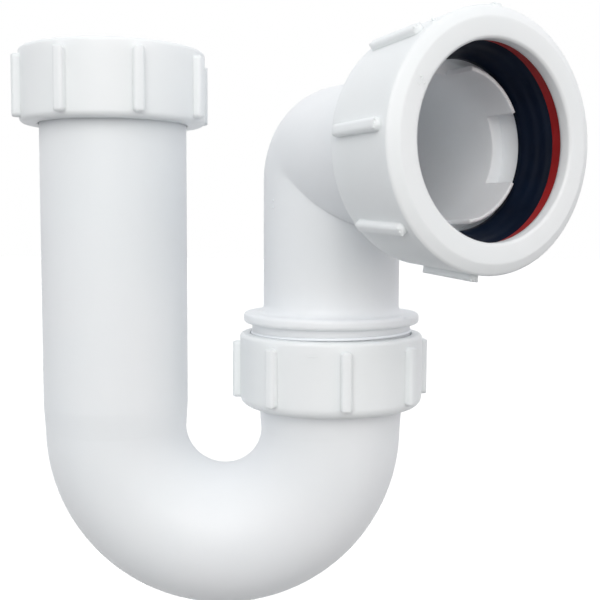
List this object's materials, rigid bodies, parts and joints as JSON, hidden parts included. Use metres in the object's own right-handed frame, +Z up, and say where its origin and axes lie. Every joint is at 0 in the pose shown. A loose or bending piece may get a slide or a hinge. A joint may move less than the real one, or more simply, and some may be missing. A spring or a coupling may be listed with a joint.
{
  "type": "basin p-trap",
  "caption": "White swivel P-trap for a basin waste: U-bend water seal, captive inlet nut, union nut, swivel elbow and compression outlet.",
  "frame": {"origin": "centre of the inlet nut's open face, on the inlet leg's axis", "axes": "+Z up along the inlet leg's axis, +X towards the outlet leg, -Y towards the side that the picture shows"},
  "size_m": [0.155, 0.1042, 0.1664],
  "materials": {
    "white_moulding": "satin white polypropylene",
    "nut_moulding": "satin white polypropylene, a little whiter",
    "washer_rubber": "matt black rubber",
    "seal_rubber": "smooth dark navy rubber",
    "slip_ring": "smooth dark red plastic"
  },
  "bodies": {
    "trap": {"u_bend": "white_moulding", "inlet_washer": "washer_rubber", "union_seal": "washer_rubber"},
    "inlet_nut": {"inlet_nut": "nut_moulding"},
    "union_nut": {"union_nut": "nut_moulding"},
    "elbow": {"swivel_elbow": "white_moulding", "outlet_seal": "seal_rubber"},
    "slip_ring": {"outlet_slip_ring": "slip_ring"},
    "outlet_nut": {"outlet_nut": "nut_moulding"}
  },
  "joints": [
    {"name": "inlet_nut_spin", "type": "hinge", "parent": "trap", "child": "inlet_nut", "pos_m": [0, 0, 0], "axis": [0, 0, 1], "continuous": true},
    {"name": "union_nut_turn", "type": "hinge", "parent": "trap", "child": "union_nut", "pos_m": [0.0644, 0, -0.1], "axis": [0, 0, 1], "continuous": true},
    {"name": "elbow_swivel", "type": "hinge", "parent": "trap", "child": "elbow", "pos_m": [0.0644, 0, -0.08], "axis": [0, 0, 1], "range_deg": [-57, 172]},
    {"name": "slip_ring_slide", "type": "slide", "parent": "elbow", "child": "slip_ring", "axis": [0.5299, -0.848, 0], "range_m": [0, 0.0116]},
    {"name": "outlet_nut_turn", "type": "hinge", "parent": "slip_ring", "child": "outlet_nut", "pos_m": [0.0962, -0.05088, -0.0303], "axis": [0.5299, -0.848, 0], "range_deg": [0, 1800]}
  ],
  "couplings": [
    {"joint": "slip_ring_slide", "follows": "outlet_nut_turn", "m_per_rad": 0.00036749}
  ]
}
